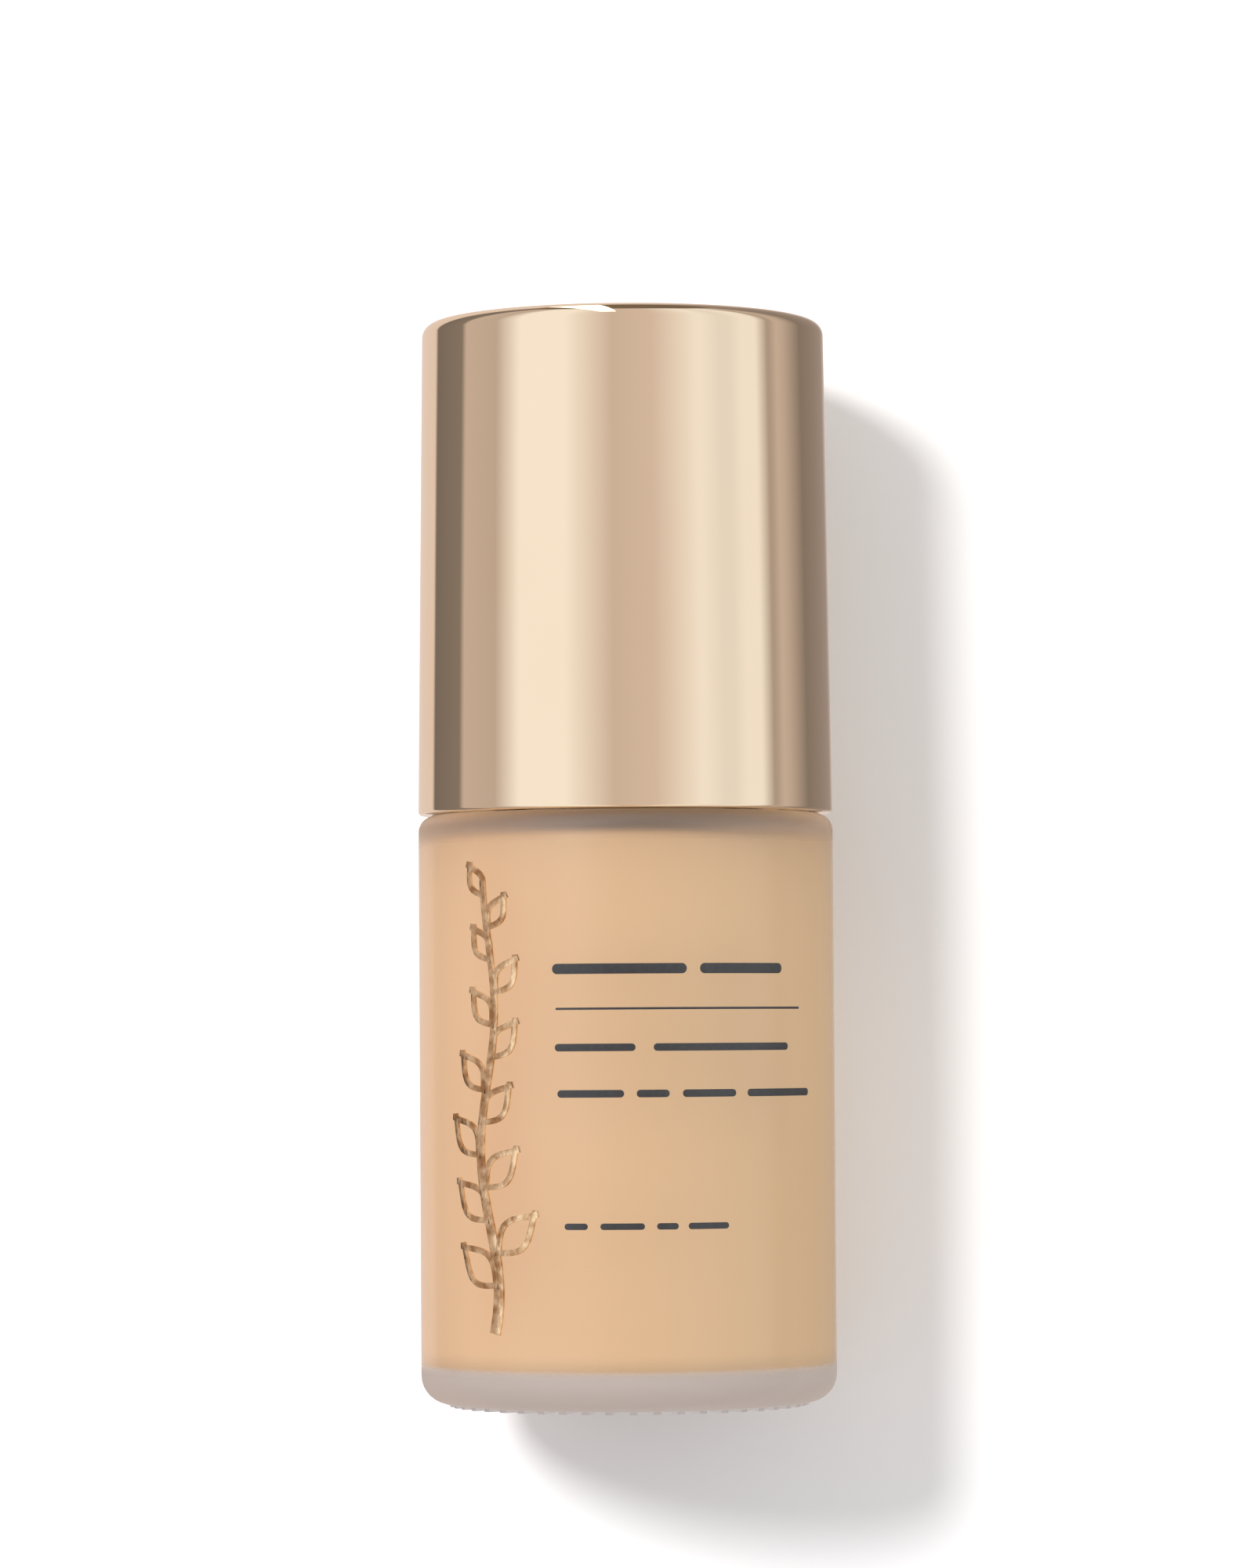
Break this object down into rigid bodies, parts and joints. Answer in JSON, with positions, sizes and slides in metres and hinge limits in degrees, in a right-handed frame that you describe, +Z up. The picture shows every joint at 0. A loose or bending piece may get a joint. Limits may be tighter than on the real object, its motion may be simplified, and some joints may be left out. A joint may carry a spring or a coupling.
{
  "type": "foundation bottle",
  "caption": "Frosted glass pump bottle for liquid foundation, with a screw-on treatment pump under a tall champagne-gold metallised overcap.",
  "frame": {"origin": "on the bottle's axis, at the surface that it stands on", "axes": "+Z up along the axis of bottle, pump and overcap; -Y the printed front and the way the spout points; +X to the right of the front"},
  "size_m": [0.037, 0.037, 0.0965],
  "materials": {
    "frosted_glass": "acid-etched satin outside, clear and thick at the base",
    "foundation": "opaque tan emulsion",
    "label_film": "thin satin film",
    "white_polypropylene": "moulded satin",
    "natural_polyethylene": "translucent, extruded or moulded",
    "seal_polyethylene": "soft, matte",
    "stainless_wire": "drawn wire",
    "stainless_ball": "ground and polished steel",
    "anodised_aluminium": "polished and anodised champagne gold",
    "white_abs": "moulded gloss",
    "champagne_metallised_abs": "vacuum metallised and lacquered champagne gold",
    "gold_foil": "hot-stamped foil",
    "grey_ink": "screen-printed ink"
  },
  "bodies": {
    "bottle": {"glass_bottle": "frosted_glass", "foundation_fill": "foundation", "base_shade_label": "label_film"},
    "pump_module": {"pump_housing": "white_polypropylene", "chaplet": "white_polypropylene", "chaplet_seal": "seal_polyethylene", "neck_gasket": "seal_polyethylene", "return_spring": "stainless_wire", "dip_tube": "natural_polyethylene"},
    "collar": {"threaded_closure": "white_polypropylene", "collar_shell": "anodised_aluminium"},
    "plunger": {"piston_rod": "white_polypropylene", "pump_stem": "white_polypropylene"},
    "piston": {"piston": "natural_polyethylene"},
    "actuator": {"actuator_core": "white_polypropylene", "actuator_cover": "white_abs", "spout": "white_abs"},
    "check_ball": {"check_ball": "stainless_ball"},
    "cap": {"overcap_shell": "champagne_metallised_abs", "overcap_liner": "white_polypropylene"}
  },
  "joints": [
    {"name": "cap_pull", "type": "slide", "parent": "bottle", "child": "cap", "axis": [0, 0, 1], "range_m": [0, 0.045]},
    {"name": "pump_lift", "type": "slide", "parent": "bottle", "child": "pump_module", "axis": [0, 0, 1], "range_m": [0, 0.00397]},
    {"name": "collar_turn", "type": "hinge", "parent": "pump_module", "child": "collar", "pos_m": [0, 0, 0.06], "axis": [0, 0, 1], "range_deg": [0, 450]},
    {"name": "plunger_press", "type": "slide", "parent": "pump_module", "child": "plunger", "axis": [0, 0, -1], "range_m": [0, 0.005], "stiffness_N_per_m": 1500, "deforming": ["return_spring"]},
    {"name": "piston_slip", "type": "slide", "parent": "plunger", "child": "piston", "axis": [0, 0, 1], "range_m": [0, 0.0006]},
    {"name": "actuator_turn", "type": "hinge", "parent": "plunger", "child": "actuator", "pos_m": [0, 0, 0.078], "axis": [0, 0, 1], "continuous": true},
    {"name": "ball_lift", "type": "slide", "parent": "pump_module", "child": "check_ball", "axis": [0, 0, 1], "range_m": [0, 0.0009]}
  ],
  "couplings": [
    {"joint": "collar_turn", "follows": "pump_lift", "rad_per_m": 1979}
  ]
}
